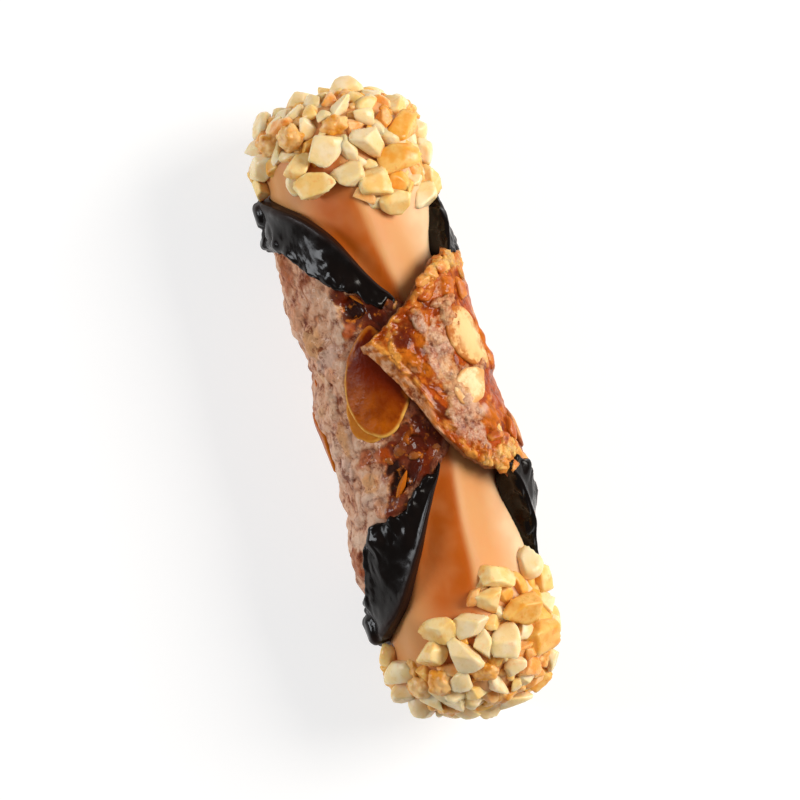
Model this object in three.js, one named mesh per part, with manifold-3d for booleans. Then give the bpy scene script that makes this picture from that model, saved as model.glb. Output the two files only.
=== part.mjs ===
// A filled cannoli lying on its side: a caramel and almond wafer rolled corner to corner into a tube, its
// two mouths dipped in dark chocolate, cream running through it and standing out of both ends, and each
// cream end crusted with chopped nuts.
//
// Frame, in millimetres: +X along the tube towards its head end, +Z up, and -Y towards the side that the
// top flap of the roll comes over from. The origin is on the surface it lies on, under the middle.
import * as THREE from "three";
import { mergeVertices } from "three/addons/utils/BufferGeometryUtils.js";
import Module from "manifold-3d";

// Driving dimensions
const TUBE_RADIUS = 13.7; // inside of the rolled wafer
const WAFER = 2.0; // its thickness
const LAYER_GAP = 0.7; // between the two layers where the roll overlaps
const AXIS_HEIGHT = 16.7;
const AXIS_Y = 0.6;
const GAP = 0.3; // between neighbouring pieces
const HALF_LENGTH = 58.2; // from the middle to the tip of either nut crust

// Directions round the tube are in degrees. A direction is measured from the top towards -Y. The sheet is
// followed by its roll angle instead, which starts at the notch of the V-shaped mouths and goes over +Y.
const NOTCH = 17;
const ROLL_START = -30; // the hidden inner corner of the sheet
const ROLL_END = 393; // the outer corner, which is the flap's tip
const STEP_UP = [240, 328]; // where the sheet climbs over its own inner corner
const STEP_HEIGHT = WAFER + LAYER_GAP;

// Edges of the sheet, as [roll angle, distance along the tube]. Round the middle of the roll they are the
// rims of the two mouths, and past 360 degrees they are the two edges of the flap.
const HEAD_RIM = [
  [-30, 4.5], [-15, 11.5], [0, 17], [17, 22.5], [37, 31.5], [62, 37.5], [107, 41.6], [180, 42.8],
  [250, 41], [287, 36], [309, 30.5], [323, 24.8], [338, 22.3], [360, 17], [380, 12.8], [393, 10.9],
];
const FOOT_RIM = [
  [-30, 0.5], [-15, -6], [0, -11.5], [17, -18.5], [37, -28], [62, -36.5], [107, -41.5], [180, -42.6],
  [250, -40.6], [287, -35], [305, -27.5], [319, -19.5], [332, -16.2], [348, -13], [361, -7.5],
  [372, -0.5], [383, 5.5], [393, 9.7],
];

// Chocolate, as [roll angle, width of the band back from the rim]
const HEAD_DIP = [
  [9, 2.5], [17, 5.5], [28, 8], [45, 11.5], [62, 11], [75, 8.5], [107, 9.5], [150, 11], [200, 8.5],
  [250, 12], [287, 12.5], [309, 7.5], [324, 2],
];
const FOOT_DIP = [
  [9, 2.5], [17, 5], [30, 8], [45, 12], [62, 16.5], [74, 15], [88, 8], [120, 8.5], [160, 11.5],
  [210, 9], [250, 11], [287, 15], [305, 9.5], [315, 4],
];
const DIP_SKIN = 1.0; // over the wafer
const DIP_LIP = 1.3; // past the wafer's edge
const DIP_BUMP = 0.35;

// Cream, outside the wafer, and the nuts on it
const CREAM_RADIUS = TUBE_RADIUS - GAP;
const CREAM_SWELL = 0.8; // how far the cream swells where nothing holds it in
const DOME_LENGTH = 14;
const DOME_POWER = 3; // 2 is an ellipse, and more is squarer
const NUT_LAYER = 2.7;
const DOME_START = HALF_LENGTH - NUT_LAYER - DOME_LENGTH;
const NUT_BUMP = 0.55;
// Where the nuts start, as [roll angle, distance along the tube]
const HEAD_NUTS = [
  [0, 34.5], [17, 38.5], [37, 41], [62, 44.3], [107, 43.4], [180, 44.2], [250, 42.6], [287, 37.6],
  [309, 32.6], [338, 32.2], [360, 34.5],
];
const FOOT_NUTS = [
  [0, -34.6], [17, -37.4], [37, -40.5], [62, -43.8], [107, -43.4], [180, -44], [250, -42.2],
  [287, -36.8], [309, -32], [338, -32.4], [360, -34.6],
];

// Almond slices baked into the wafer: roll angle and distance of the middle, length, width, and turn of
// the long axis away from the tube's towards -Y
const SLICES = [
  { roll: 33, along: 4.4, length: 20, width: 12.4, turn: 9 },
  { roll: 327, along: 7.6, length: 13.5, width: 9.2, turn: 152 },
  { roll: 107, along: -3.5, length: 12, width: 8, turn: 168 },
  { roll: 128, along: 18, length: 13, width: 8.5, turn: 35 },
  { roll: 160, along: 2, length: 14, width: 9, turn: 105 },
  { roll: 186, along: -20, length: 13, width: 8.6, turn: 20 },
  { roll: 205, along: 19, length: 12.5, width: 8, turn: 140 },
  { roll: 243, along: -4, length: 13.5, width: 8.8, turn: 60 },
  { roll: 282, along: 13, length: 12, width: 8.2, turn: 15 },
  { roll: 290, along: -10, length: 11.5, width: 7.6, turn: 110 },
];
const SLICE_SINK = 0.6; // into the wafer
const SLICE_RISE = 0.4; // above it

// Resolution
const ROLL_STEP = 9;
const SHEET_ROWS = 7;
const CREAM_SIDES = 36;
const CRUST_SIDES = 28;
const SLICE_SIDES = 12;

const wasm = await Module();
wasm.setup();

const radians = THREE.MathUtils.degToRad;
const { clamp, lerp, smoothstep } = THREE.MathUtils;

// A smooth value through [angle, value] pairs: cubic between them, level at the ends.
function track(pairs) {
  const slopes = pairs.map((_, i) => {
    if (i === 0 || i === pairs.length - 1) return 0;
    const [before, after] = [pairs[i - 1], pairs[i + 1]];
    return (after[1] - before[1]) / (after[0] - before[0]);
  });
  return (angle) => {
    const at = clamp(angle, pairs[0][0], pairs.at(-1)[0]);
    const i = Math.max(1, pairs.findIndex(([a]) => a >= at)) - 1;
    const [a0, v0] = pairs[i];
    const [a1, v1] = pairs[i + 1];
    const u = (at - a0) / (a1 - a0);
    const ease = u * u * (3 - 2 * u);
    const start = slopes[i] * (a1 - a0) * u * (1 - u) ** 2;
    const end = slopes[i + 1] * (a1 - a0) * u * u * (1 - u);
    return lerp(v0, v1, ease) + start - end;
  };
}

// A repeatable uneven value from -1 to 1.
function uneven(a, b) {
  const wave = Math.sin(a * 12.9898 + b * 78.233) * 43758.5453;
  return 2 * (wave - Math.floor(wave)) - 1;
}

// A point of the tube, in the part's frame. It never goes below the surface that the part lies on.
function tubePoint(roll, along, radius) {
  const direction = radians(NOTCH - roll);
  return new THREE.Vector3(
    along,
    AXIS_Y - radius * Math.sin(direction),
    Math.max(0, AXIS_HEIGHT + radius * Math.cos(direction)),
  );
}

// Inside radius of the sheet at a roll angle.
const sheetRadius = (roll) => TUBE_RADIUS + STEP_HEIGHT * smoothstep(roll, ...STEP_UP);

// First, last, and each whole ROLL_STEP between them, so that pieces on each other share their facets.
function rollAngles(first, last) {
  const angles = [first];
  for (let i = Math.floor(first / ROLL_STEP) + 1; i * ROLL_STEP < last; i += 1) angles.push(i * ROLL_STEP);
  return [...angles, last];
}

// A closed body over a row of rings, each the same number of points. Its two ends are fans to their
// middles, or strips across a ring that runs out along one side and back along the other.
function bodyOverRings(rings, ends) {
  const size = rings[0].length;
  const points = rings.flat();
  const faces = [];
  for (let i = 0; i + 1 < rings.length; i += 1) {
    for (let j = 0; j < size; j += 1) {
      const a = i * size + j;
      const b = i * size + ((j + 1) % size);
      faces.push([a, b, b + size], [a, b + size, a + size]);
    }
  }
  const close = (first, flip) => {
    const turned = (face) => faces.push(flip ? face : face.reverse());
    if (ends === "fan") {
      const middle = new THREE.Vector3();
      for (let j = 0; j < size; j += 1) middle.add(points[first + j]);
      points.push(middle.divideScalar(size));
      for (let j = 0; j < size; j += 1) {
        turned([points.length - 1, first + j, first + ((j + 1) % size)]);
      }
      return;
    }
    for (let j = 0; j + 1 < size / 2; j += 1) {
      const [a, b] = [first + j, first + j + 1];
      const [c, d] = [first + size - 2 - j, first + size - 1 - j];
      turned([a, b, c]);
      turned([a, c, d]);
    }
  };
  close(0, false);
  close((rings.length - 1) * size, true);
  return facingOut(points, faces);
}

// A geometry from points and faces, turned round if its faces point inwards.
function facingOut(points, faces) {
  const volume = faces.reduce((sum, [a, b, c]) => {
    return sum + points[a].dot(new THREE.Vector3().crossVectors(points[b], points[c]));
  }, 0);
  const index = volume < 0 ? faces.map(([a, b, c]) => [a, c, b]) : faces;
  const geometry = new THREE.BufferGeometry().setFromPoints(points);
  geometry.setIndex(index.flat());
  return geometry;
}

function toSolid(geometry) {
  const merged = mergeVertices(geometry, 1e-4);
  return new wasm.Manifold(
    new wasm.Mesh({
      numProp: 3,
      vertProperties: merged.attributes.position.array,
      triVerts: new Uint32Array(merged.index.array),
    }),
  );
}

function toGeometry(solid) {
  const { vertProperties, triVerts } = solid.getMesh();
  const geometry = new THREE.BufferGeometry();
  geometry.setAttribute("position", new THREE.BufferAttribute(vertProperties, 3));
  geometry.setIndex(new THREE.BufferAttribute(triVerts, 1));
  return geometry;
}

// The main body of a cut solid, without any splinter that the cut left.
function largest(solid) {
  return solid.decompose().reduce((most, body) => (body.volume() > most.volume() ? body : most));
}

// One end of the part: its rim, its dip and where its nuts start. side is 1 at the head and -1 at the foot.
function makeEnd(side, rim, dip, nuts) {
  const [first, last] = [dip[0][0], dip.at(-1)[0]];
  const ease = 12;
  // How much of the dip is there: 0 away from it and 1 along it
  const cover = (roll) => smoothstep(roll, first - ease, first) * smoothstep(-roll, -last - ease, -last);
  return { side, first, last, cover, rim: track(rim), width: track(dip), nuts: track(nuts) };
}
const head = makeEnd(1, HEAD_RIM, HEAD_DIP, HEAD_NUTS);
const foot = makeEnd(-1, FOOT_RIM, FOOT_DIP, FOOT_NUTS);

// The sheet's own edge, which stops short of the rim where chocolate makes the last of it.
const sheetEdge = (end, roll) => end.rim(roll) - end.side * (DIP_LIP + GAP) * end.cover(roll);

// The sheet between its own edges, or grown by a gap all round and out to the rims, chocolate included.
function rolledSheet(edge, grow) {
  const turned = THREE.MathUtils.radToDeg(grow / TUBE_RADIUS);
  const rings = rollAngles(ROLL_START - turned, ROLL_END + turned).map((roll) => {
    const outer = [];
    const inner = [];
    for (let j = 0; j <= SHEET_ROWS; j += 1) {
      const along = lerp(edge(foot, roll) - grow, edge(head, roll) + grow, j / SHEET_ROWS);
      outer.push(tubePoint(roll, along, sheetRadius(roll) + WAFER + grow));
      inner.unshift(tubePoint(roll, along, sheetRadius(roll) - grow));
    }
    return [...outer, ...inner];
  });
  return bodyOverRings(rings, "strip");
}

// A slice's outline is an almond's: round at one end, and drawn to a blunt point at the other.
function almondSlice({ roll, along, length, width, turn }, grow) {
  const surface = sheetRadius(roll) + WAFER;
  const loop = (scale, level) => {
    return Array.from({ length: SLICE_SIDES }, (_, k) => {
      const angle = (2 * Math.PI * k) / SLICE_SIDES;
      const taper = 1 - 0.3 * Math.max(0, Math.cos(angle)) ** 2;
      const a = (length / 2 + grow) * scale * Math.cos(angle);
      const b = (width / 2 + grow) * scale * Math.sin(angle) * taper;
      const out = a * Math.sin(radians(turn)) + b * Math.cos(radians(turn));
      const up = a * Math.cos(radians(turn)) - b * Math.sin(radians(turn));
      const here = roll - THREE.MathUtils.radToDeg(out / surface);
      return tubePoint(here, along + up, sheetRadius(here) + WAFER + level);
    });
  };
  const bottom = -SLICE_SINK - grow;
  const top = SLICE_RISE + grow;
  const rings = [
    loop(0.45, bottom), loop(0.9, bottom), loop(1, lerp(bottom, top, 0.5)), loop(0.9, top), loop(0.45, top),
  ];
  return bodyOverRings(rings, "fan");
}

// The dip's section is a skin over the wafer and a lip round its edge, thinning out away from the rim.
function chocolateDip(end) {
  const rings = rollAngles(end.first, end.last).map((roll, i) => {
    const r = sheetRadius(roll);
    const skinFoot = r + WAFER + GAP;
    const cover = end.cover(roll);
    const lip = DIP_LIP * cover;
    const width = Math.max(end.width(roll), lip + 0.8);
    const bump = (j) => DIP_SKIN + DIP_BUMP * uneven(i, j + end.side);
    const at = (back, radius) => tubePoint(roll, end.rim(roll) - end.side * back, radius);
    const outer = [
      at(0, r + 0.2), at(0, r + 0.8 * WAFER), at(0.35 * lip, skinFoot + 0.7 * bump(0)),
      at(lip + 0.25 * (width - lip), skinFoot + bump(1)), at(lip + 0.6 * (width - lip), skinFoot + bump(2)),
      at(width - 0.3, skinFoot + 0.55),
    ];
    const inner = [
      at(lip * 0.9, r), at(lip, r + 0.6 * WAFER), at(lip, skinFoot), at(lip + 0.3 * (width - lip), skinFoot),
      at(lip + 0.65 * (width - lip), skinFoot), at(width, skinFoot),
    ];
    return [...outer, ...inner.reverse()];
  });
  return bodyOverRings(rings, "strip");
}

// Radius of the cream before the wafer is cut out of it. It fills the tube, rises into the step beyond the
// sheet's inner corner and under the flap, and swells a little where nothing holds it in.
function creamRadius(direction, along) {
  const roll = THREE.MathUtils.euclideanModulo(NOTCH - direction - ROLL_START, 360) + ROLL_START;
  const onStep = roll > STEP_UP[0];
  const corner = onStep ? ROLL_START : roll;
  const pastCorner = onStep ? radians(ROLL_START + 360 - roll) * TUBE_RADIUS : 0;
  const past = Math.max(pastCorner, along - head.rim(corner), foot.rim(corner) - along);
  const roof = STEP_HEIGHT * (onStep ? smoothstep(roll, ...STEP_UP) : 1 - smoothstep(roll, 0, 50));
  const held = Math.max(0.9 * roof, roll < 240 ? CREAM_SWELL : 0);
  const swell = lerp(held, CREAM_SWELL, smoothstep(Math.abs(along), 27, DOME_START));
  return CREAM_RADIUS + swell * smoothstep(past, 0, 4);
}

// A ring round the tube, from a radius for each direction.
function tubeRing(sides, pointAt) {
  return Array.from({ length: sides }, (_, k) => pointAt((360 * k) / sides));
}

// How much of its radius the dome keeps, and how far along it is, from 0 at its start to 1 at its tip.
const domeShare = (turn) => Math.cos(turn) ** (2 / DOME_POWER);
const domeReach = (turn) => Math.sin(turn) ** (2 / DOME_POWER);

function creamFilling() {
  const straight = 18;
  const dome = 6;
  const rings = [];
  const domeRing = (side, k) => {
    const turn = (Math.PI / 2) * (k / (dome + 0.35));
    const along = side * (DOME_START + DOME_LENGTH * domeReach(turn));
    return tubeRing(CREAM_SIDES, (direction) => {
      return tubePoint(NOTCH - direction, along, creamRadius(direction, side * DOME_START) * domeShare(turn));
    });
  };
  for (let k = dome; k > 0; k -= 1) rings.push(domeRing(-1, k));
  for (let k = 0; k <= straight; k += 1) {
    const along = lerp(-DOME_START, DOME_START, k / straight);
    rings.push(tubeRing(CREAM_SIDES, (direction) => {
      return tubePoint(NOTCH - direction, along, creamRadius(direction, along));
    }));
  }
  for (let k = 1; k <= dome; k += 1) rings.push(domeRing(1, k));
  return bodyOverRings(rings, "fan");
}

// The chopped nuts as one crust: in from the tip over its uneven outside, round its edge, and back up its
// inside, which follows the cream.
function nutCrust(end) {
  const straight = 2;
  const dome = 6;
  const crustRing = (k, layer, bump) => {
    const turn = (Math.PI / 2) * (Math.max(k, 0) / (dome + 0.35));
    return tubeRing(CRUST_SIDES, (direction) => {
      const roll = THREE.MathUtils.euclideanModulo(NOTCH - direction, 360);
      const onStraight = lerp(DOME_START, Math.abs(end.nuts(roll)), clamp(-k / straight, 0, 1));
      const lift = layer + bump * NUT_BUMP * Math.cos(turn) * uneven(direction / 7, k + 3 * end.side);
      const along = k > 0 ? DOME_START + (DOME_LENGTH + lift) * domeReach(turn) : onStraight;
      const cream = creamRadius(direction, end.side * Math.min(along, DOME_START));
      return tubePoint(roll, end.side * along, (cream + lift) * domeShare(turn));
    });
  };
  const rings = [];
  for (let k = dome; k >= -straight; k -= 1) rings.push(crustRing(k, NUT_LAYER, 1));
  for (let k = -straight; k <= dome; k += 1) rings.push(crustRing(k, GAP, 0));
  return bodyOverRings(rings, "fan");
}

const material = (color, roughness) => new THREE.MeshStandardMaterial({ color, roughness, metalness: 0 });
const waferMaterial = material(0x9c5a33, 0.45);
const creamMaterial = material(0xdc9a63, 0.45);
const chocolateMaterial = material(0x17100e, 0.25);
const nutMaterial = material(0xe9c888, 0.5);
const sliceMaterial = material(0xd99a4e, 0.35);

const part = new THREE.Group();
function addPiece(name, geometry, pieceMaterial) {
  const mesh = new THREE.Mesh(geometry, pieceMaterial);
  mesh.name = name;
  part.add(mesh);
}

const pockets = SLICES.map((slice) => toSolid(almondSlice(slice, GAP)));
const sheet = toSolid(rolledSheet(sheetEdge, 0));
const wafer = pockets.reduce((rest, pocket) => rest.subtract(pocket), sheet);
const roomForSheet = toSolid(rolledSheet((end, roll) => end.rim(roll), GAP));
const cream = toSolid(creamFilling()).subtract(roomForSheet);

addPiece("wafer_shell", toGeometry(wafer), waferMaterial);
addPiece("cream_filling", toGeometry(largest(cream)), creamMaterial);
addPiece("chocolate_head", chocolateDip(head), chocolateMaterial);
addPiece("chocolate_foot", chocolateDip(foot), chocolateMaterial);
addPiece("nut_crust_head", nutCrust(head), nutMaterial);
addPiece("nut_crust_foot", nutCrust(foot), nutMaterial);
SLICES.forEach((slice, i) => {
  addPiece(`almond_slice_${i + 1}`, almondSlice(slice, 0), sliceMaterial);
});

export default part;
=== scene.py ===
"""The looks of a filled cannoli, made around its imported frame.

The cannoli is a caramel and almond wafer rolled corner to corner into a tube, with its two mouths dipped in
dark chocolate, cream running through it, and chopped nuts over both cream ends.

Lengths here are millimetres and angles degrees, in the frame's own axes: +X along the tube towards its head
end, +Z up and -Y to the right as seen from above. A mesh is brought to metres when it is made. The camera and
the lights are placed in metres.
"""
import math
from functools import cache

import bmesh
import bpy
import numpy as np
from mathutils import Matrix, Vector, noise


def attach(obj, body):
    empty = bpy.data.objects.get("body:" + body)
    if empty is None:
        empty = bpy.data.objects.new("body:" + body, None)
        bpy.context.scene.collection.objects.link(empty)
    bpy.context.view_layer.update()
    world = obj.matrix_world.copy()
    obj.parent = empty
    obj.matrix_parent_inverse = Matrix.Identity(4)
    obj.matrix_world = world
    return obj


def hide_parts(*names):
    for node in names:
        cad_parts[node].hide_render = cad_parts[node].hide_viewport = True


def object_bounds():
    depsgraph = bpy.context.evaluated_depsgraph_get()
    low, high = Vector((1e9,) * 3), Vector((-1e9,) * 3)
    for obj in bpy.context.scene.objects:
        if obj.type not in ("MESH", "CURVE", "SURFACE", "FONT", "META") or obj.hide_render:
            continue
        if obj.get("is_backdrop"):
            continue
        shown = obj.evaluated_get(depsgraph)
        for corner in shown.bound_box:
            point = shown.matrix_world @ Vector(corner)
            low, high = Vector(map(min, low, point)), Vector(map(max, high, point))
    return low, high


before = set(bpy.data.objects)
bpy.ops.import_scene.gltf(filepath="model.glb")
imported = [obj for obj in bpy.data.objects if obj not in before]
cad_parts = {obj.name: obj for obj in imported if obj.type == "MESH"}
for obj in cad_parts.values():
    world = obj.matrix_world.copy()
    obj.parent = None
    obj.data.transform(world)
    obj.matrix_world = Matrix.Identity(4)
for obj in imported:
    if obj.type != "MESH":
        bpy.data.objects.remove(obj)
cad_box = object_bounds()

MM = 0.001

# Driving dimensions, as in the CAD model
TUBE_RADIUS = 13.7  # inside of the rolled wafer
WAFER = 2.0  # its thickness
STEP_HEIGHT = 2.7  # how far the sheet climbs where it overlaps itself
STEP_UP = (240, 328)  # roll angles it climbs between
AXIS_HEIGHT = 16.7
AXIS_Y = 0.6
NOTCH = 17  # direction of the V-shaped mouths' points, from the top towards -Y
ROLL_START = -30  # roll angle of the sheet's inner corner
ROLL_END = 393  # and of its outer corner, the flap's tip
DOME_START = 41.5  # where along the cream begins to round off
DOME_LENGTH = 14
DOME_POWER = 3  # 2 would be an ellipse
DIP_LIP = 1.3  # how much of each mouth's rim is chocolate alone
FLOOR = 0

# Edges of the sheet and widths of the chocolate on them, as (roll angle, distance along or width)
HEAD_RIM = [
    (-30, 4.5), (-15, 11.5), (0, 17), (17, 22.5), (37, 31.5), (62, 37.5), (107, 41.6), (180, 42.8),
    (250, 41), (287, 36), (309, 30.5), (323, 24.8), (338, 22.3), (360, 17), (380, 12.8), (393, 10.9),
]
FOOT_RIM = [
    (-30, 0.5), (-15, -6), (0, -11.5), (17, -18.5), (37, -28), (62, -36.5), (107, -41.5), (180, -42.6),
    (250, -40.6), (287, -35), (305, -27.5), (319, -19.5), (332, -16.2), (348, -13), (361, -7.5),
    (372, -0.5), (383, 5.5), (393, 9.7),
]
HEAD_DIP = [
    (9, 2.5), (17, 5.5), (28, 8), (45, 11.5), (62, 11), (75, 8.5), (107, 9.5), (150, 11), (200, 8.5),
    (250, 12), (287, 12.5), (309, 7.5), (324, 2),
]
FOOT_DIP = [
    (9, 2.5), (17, 5), (30, 8), (45, 12), (62, 16.5), (74, 15), (88, 8), (120, 8.5), (160, 11.5),
    (210, 9), (250, 11), (287, 15), (305, 11), (316, 6), (324, 3),
]

# Round drips of chocolate: roll angle, distance along, size and height
HEAD_DRIPS = [(104, 38.8, 5, 1.2), (109, 34.2, 3.6, 1), (250, 36, 5, 1), (190, 37, 5, 1)]
FOOT_DRIPS = [(102, -38.4, 6, 1.5), (62, -23, 4, 0.7), (190, -36, 5, 1), (240, -35, 5, 1)]


# ---------------- numbers and noise

def colour(code):
    """Linear red, green and blue of a hex colour."""
    shares = np.array([int(code[i:i + 2], 16) for i in (1, 3, 5)]) / 255
    return np.where(shares <= 0.04045, shares / 12.92, ((shares + 0.055) / 1.055) ** 2.4)


def smooth(value, low, high):
    """0 below low, 1 above high, and smooth between them."""
    share = np.clip((value - low) / (high - low), 0, 1)
    return share * share * (3 - 2 * share)


def mix(a, b, share):
    """From a to b."""
    return a + (b - a) * share


def stain(a, b, share):
    """Colours from a to b, at a share for each point."""
    return a + (b - a) * np.asarray(share)[..., None]


def track(pairs):
    """A smooth value through (angle, value) pairs: cubic between them, level at the ends."""
    at, value = np.array(pairs, float).T
    slope = np.zeros_like(value)
    slope[1:-1] = (value[2:] - value[:-2]) / (at[2:] - at[:-2])

    def read(angle):
        angle = np.clip(angle, at[0], at[-1])
        i = np.clip(np.searchsorted(at, angle) - 1, 0, len(at) - 2)
        span = at[i + 1] - at[i]
        u = (angle - at[i]) / span
        start = slope[i] * span * u * (1 - u) ** 2
        end = slope[i + 1] * span * u * u * (1 - u)
        return value[i] + (value[i + 1] - value[i]) * u * u * (3 - 2 * u) + start - end

    return read


RIPPLE_STEP = (7.31, 3.17, 11.9)  # how far each seed moves the noise
CELL_STEP = (5.13, 9.7, 2.71)
OCTAVE_FALL = 0.9
OCTAVE_FINER = 2.1


def noise_points(points, size, seed, step):
    """Points in units of size, moved so that each seed has noise of its own."""
    shift = Vector([seed * s for s in step])
    return [Vector(p) + shift for p in np.asarray(points).reshape(-1, 3) / size]


def ripple(points, size, seed=0, octaves=1):
    """Smooth noise from about -1 to 1 whose waves are about size long."""
    places = noise_points(points, size, seed, RIPPLE_STEP)
    if octaves == 1:
        values = [noise.noise(p) for p in places]
    else:
        values = [noise.fractal(p, OCTAVE_FALL, OCTAVE_FINER, octaves) for p in places]
    return np.array(values).reshape(np.shape(points)[:-1])


def cells(points, size, seed=0):
    """Distance to the nearest of cell centres about size apart, as a share of size."""
    values = [noise.voronoi(p)[0][0] for p in noise_points(points, size, seed, CELL_STEP)]
    return np.array(values).reshape(np.shape(points)[:-1])


# ---------------- the tube

def tube_point(roll, along, radius):
    """Points round the tube. None goes below the surface that the cannoli lies on."""
    direction = np.radians(NOTCH - roll)
    x = along + 0 * direction
    y = AXIS_Y - radius * np.sin(direction)
    z = np.maximum(AXIS_HEIGHT + radius * np.cos(direction), FLOOR)
    return np.stack(np.broadcast_arrays(x, y, z), -1)


# How much the tube's left and right sides stand out or are pressed in, as (distance along, millimetres)
left_side = track([
    (-40, 0.2), (-27, 0.9), (-20, 0.3), (-12, -0.5), (-4, 0.2), (0, 0.7), (3, 0.5), (8, -0.8), (12, -0.5),
    (15, 0), (21, 0.4), (30, 0), (40, 0.2),
])
right_side = track([
    (-40, -1), (-31, -2), (-25, -0.6), (-17, 0.8), (-9, 0.5), (-5, -0.7), (0, -1), (2, 0), (5, -0.6),
    (12, -1.7), (22, -1.4), (27, -2.3), (33, -2.6), (40, -1),
])


def sheet_radius(roll):
    """Inside radius of the rolled sheet, before its sides are pressed."""
    return TUBE_RADIUS + STEP_HEIGHT * smooth(roll, *STEP_UP)


def pressed(roll, along):
    """How far the sheet's sides stand out or are pressed in."""
    across = np.sin(np.radians(NOTCH - roll))
    right = np.clip(across, 0, 1) ** 6 * smooth(roll, 180, 200)
    left = np.clip(-across, 0, 1) ** 4
    return left * left_side(along) + right * right_side(along)


def sheet_point(roll, along, height):
    """Points at a height over the inside of the rolled sheet."""
    return tube_point(roll, along, sheet_radius(roll) + pressed(roll, along) + height)


def radial(direction):
    """The way straight out from the axis, at degrees from the top towards -Y."""
    direction = math.radians(direction)
    return np.array([0, -math.sin(direction), math.cos(direction)])


def rotated(x, y, turn):
    """A place's distances along and across a direction that is turned from the first axis to the second."""
    c, s = math.cos(math.radians(turn)), math.sin(math.radians(turn))
    return x * c + y * s, y * c - x * s


def roll_at(across, flap):
    """Roll angle of what is seen from above at a distance across from the axis, on the flap or under it."""
    radius = TUBE_RADIUS + WAFER + (STEP_HEIGHT if flap else 0)
    direction = math.degrees(math.asin(across / radius))
    return NOTCH - direction + (360 if flap else 0)


COVER_EASE = 12  # over how many degrees of roll the chocolate comes in


class End:
    """One end of the cannoli: side is 1 at the head and -1 at the foot."""

    def __init__(self, side, rim, dip, drips):
        self.side = side
        self.rim = track(rim)
        self.width = track(dip)
        self.drips = drips
        self.first = dip[0][0]
        self.last = dip[-1][0]

    def cover(self, roll):
        """0 away from the chocolate and 1 along it."""
        begun = smooth(roll, self.first - COVER_EASE, self.first)
        return begun * smooth(-roll, -self.last - COVER_EASE, -self.last)


head = End(1, HEAD_RIM, HEAD_DIP, HEAD_DRIPS)
foot = End(-1, FOOT_RIM, FOOT_DIP, FOOT_DRIPS)


# ---------------- making a piece

def closed_rings(rings):
    """Points and faces of a closed body over rings, fanned to a middle point at both ends."""
    count, size = rings.shape[:2]
    points = np.concatenate([rings.reshape(-1, 3), [rings[0].mean(0)], [rings[-1].mean(0)]])
    steps = [(j, (j + 1) % size) for j in range(size)]
    last = (count - 1) * size
    faces = [[i + a, i + b, i + size + b, i + size + a] for i in range(0, last, size) for a, b in steps]
    faces += [[len(points) - 2, b, a] for a, b in steps]
    faces += [[last + a, last + b, len(points) - 1] for a, b in steps]
    return points, faces


def ring_values(values):
    """A value for each point of closed_rings: those of the rings, and 0 for both middle points."""
    return np.append(values.ravel(), [0, 0])


def facing_out(points, faces):
    """The faces, turned round if they point inwards."""
    corners = points[np.array([face[:3] for face in faces])]
    volume = np.einsum("ij,ij->", corners[:, 0], np.cross(corners[:, 1], corners[:, 2]))
    return [face[::-1] for face in faces] if volume < 0 else faces


def add_object(name, data):
    made = bpy.data.objects.new(name, data)
    bpy.context.scene.collection.objects.link(made)
    return made


def add_piece(name, points, faces, material, slot, replaced=(), **attributes):
    """A closed, smooth-shaded mesh of the cannoli. Attributes are one number or colour for each point."""
    mesh = bpy.data.meshes.new(name)
    mesh.from_pydata((points * MM).tolist(), [], facing_out(points, faces))
    mesh.polygons.foreach_set("use_smooth", [True] * len(mesh.polygons))
    for key, values in attributes.items():
        kind, field = "FLOAT", "value"
        values = np.asarray(values, np.float32)
        if values.ndim == 2:
            kind, field = "FLOAT_COLOR", "color"
            values = np.c_[values, np.ones(len(values), np.float32)]
        mesh.attributes.new(key, kind, "POINT").data.foreach_set(field, values.ravel())
    mesh.materials.append(material)
    piece = add_object(name, mesh)
    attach(piece, "root")
    if replaced:
        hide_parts(*replaced)


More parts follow.
